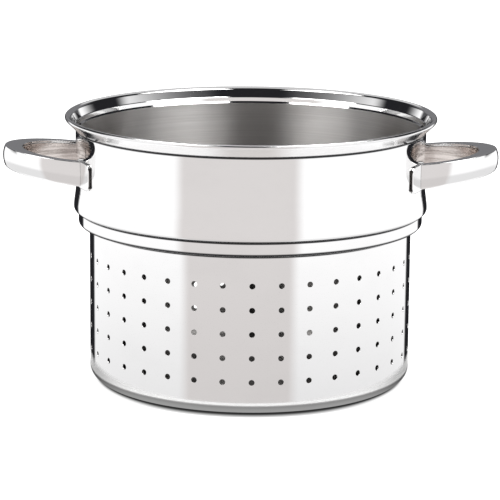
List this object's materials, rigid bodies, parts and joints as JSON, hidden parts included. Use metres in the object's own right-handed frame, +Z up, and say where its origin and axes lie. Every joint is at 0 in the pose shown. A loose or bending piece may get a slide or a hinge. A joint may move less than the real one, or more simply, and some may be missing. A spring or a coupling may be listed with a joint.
{
  "type": "pasta insert",
  "caption": "Stepped stainless-steel pasta insert with a perforated wall and base, a flared rim, a bead that seats it in a pot's mouth, and hollow side handles.",
  "frame": {"origin": "centre of the base's underside", "axes": "+X towards the right handle, +Y to the rear, +Z up along the basket's axis"},
  "size_m": [0.3424, 0.2562, 0.1839],
  "materials": {
    "basket_steel": "mirror polished outside, satin brushed inside",
    "handle_steel": "mirror polished",
    "weld_steel": "dull fused steel, hidden behind the handle feet"
  },
  "bodies": {
    "root": {"basket_shell": "basket_steel", "right_handle_shell": "handle_steel", "right_handle_liner": "handle_steel", "right_front_lower_weld": "weld_steel", "right_front_upper_weld": "weld_steel", "right_rear_lower_weld": "weld_steel", "right_rear_upper_weld": "weld_steel", "left_handle_shell": "handle_steel", "left_handle_liner": "handle_steel", "left_front_lower_weld": "weld_steel", "left_front_upper_weld": "weld_steel", "left_rear_lower_weld": "weld_steel", "left_rear_upper_weld": "weld_steel", "right_front_foot": "handle_steel", "right_rear_foot": "handle_steel", "left_front_foot": "handle_steel", "left_rear_foot": "handle_steel"}
  },
  "joints": []
}
